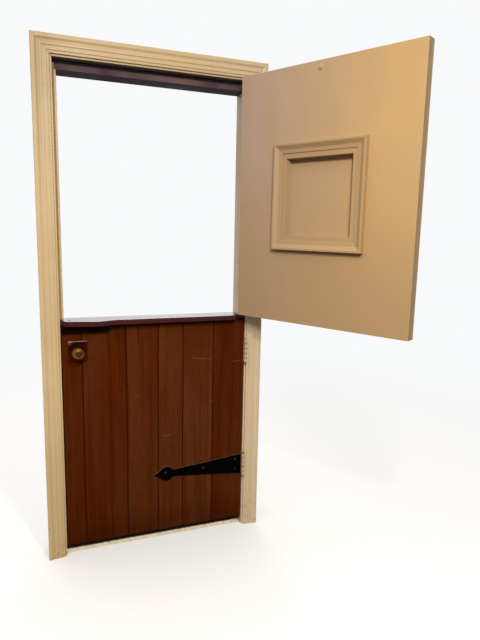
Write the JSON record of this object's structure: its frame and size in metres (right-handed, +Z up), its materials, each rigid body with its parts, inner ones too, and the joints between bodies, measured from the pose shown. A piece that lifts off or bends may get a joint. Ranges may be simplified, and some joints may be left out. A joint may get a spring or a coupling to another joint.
{
  "type": "dutch stable door in its frame",
  "caption": "Stable door cut into two leaves in a cased frame; the planked lower leaf is shut with a shelf and strap, the upper leaf stands open with a blanked square light.",
  "frame": {"origin": "on the underside of the sill, at the middle of the opening's width and of the jambs' depth", "axes": "+Z up the jambs, +X towards the hinge jamb, +Y from the room to the outdoors"},
  "size_m": [1.2582, 0.9374, 2.145],
  "materials": {
    "trim_paint": "cream semi-gloss paint on timber",
    "leaf_paint": "flat beige paint on timber",
    "head_stop_paint": "old brown paint on timber",
    "sill_paint": "worn cream paint on timber",
    "stained_board": "red-brown stain with satin varnish",
    "shelf_wood": "dark red stain with gloss varnish",
    "seal_rubber": "dark flexible seal",
    "hinge_paint": "steel painted over in cream",
    "black_iron": "forged look, black",
    "aged_brass": "tarnished brass, rubbed bright where it is held",
    "latch_brass": "satin brass",
    "plain_steel": "bare steel"
  },
  "bodies": {
    "frame": {"sill": "sill_paint", "jamb_left": "trim_paint", "jamb_right": "trim_paint", "jamb_head": "trim_paint", "stop_left": "trim_paint", "stop_right": "trim_paint", "stop_head": "head_stop_paint", "weatherstrip": "seal_rubber", "casing_left": "trim_paint", "casing_right": "trim_paint", "casing_head": "trim_paint", "brickmould_left": "trim_paint", "brickmould_right": "trim_paint", "brickmould_head": "trim_paint", "strike_plate": "latch_brass", "jamb_hinge_leaf_1": "hinge_paint", "jamb_hinge_leaf_2": "hinge_paint", "jamb_hinge_leaf_3": "hinge_paint", "jamb_hinge_leaf_4": "hinge_paint", "hinge_pins": "hinge_paint"},
    "lower_leaf": {"lower_slab": "leaf_paint", "lower_board_1": "stained_board", "lower_board_2": "stained_board", "lower_board_3": "stained_board", "lower_board_4": "stained_board", "lower_board_5": "stained_board", "lower_board_6": "stained_board", "shelf": "shelf_wood", "strap": "black_iron", "strap_nails": "black_iron", "door_sweep": "seal_rubber", "knob_plate_inside": "aged_brass", "knob_plate_outside": "aged_brass", "latch_case": "latch_brass", "lower_hinge_leaf_1": "hinge_paint", "lower_hinge_leaf_2": "hinge_paint"},
    "upper_leaf": {"upper_stile_hinge": "leaf_paint", "upper_stile_lock": "leaf_paint", "upper_rail_top": "leaf_paint", "upper_rail_bottom": "leaf_paint", "light_panel": "leaf_paint", "upper_board_1": "stained_board", "upper_board_2": "stained_board", "upper_board_3": "stained_board", "upper_board_4": "stained_board", "upper_board_5": "stained_board", "upper_board_6": "stained_board", "light_trim_top": "leaf_paint", "light_trim_bottom": "leaf_paint", "light_trim_left": "leaf_paint", "light_trim_right": "leaf_paint", "viewer": "leaf_paint", "bolt_plate": "black_iron", "upper_hinge_leaf_1": "hinge_paint", "upper_hinge_leaf_2": "hinge_paint"},
    "knob_set": {"knob_inside": "aged_brass", "knob_outside": "aged_brass", "spindle": "plain_steel"},
    "latch": {"latch_bolt": "latch_brass"},
    "bolt": {"bolt_rod": "black_iron"}
  },
  "joints": [
    {"name": "lower_hinge", "type": "hinge", "parent": "frame", "child": "lower_leaf", "pos_m": [0.4075, -0.077, 0], "axis": [0, 0, 1], "range_deg": [0, 150]},
    {"name": "upper_hinge", "type": "hinge", "parent": "frame", "child": "upper_leaf", "pos_m": [0.4075, -0.077, 0], "axis": [0, 0, 1], "range_deg": [-117, 58]},
    {"name": "knob_turn", "type": "hinge", "parent": "lower_leaf", "child": "knob_set", "pos_m": [-0.342, -0.029, 0.918], "axis": [0, 1, 0], "range_deg": [0, 45]},
    {"name": "latch_slide", "type": "slide", "parent": "lower_leaf", "child": "latch", "axis": [-1, 0, 0], "range_m": [0, 0.0115]},
    {"name": "bolt_slide", "type": "slide", "parent": "upper_leaf", "child": "bolt", "axis": [0, 0, -1], "range_m": [0, 0.022]}
  ],
  "couplings": [
    {"joint": "latch_slide", "follows": "knob_turn", "m_per_rad": 0.01464}
  ]
}
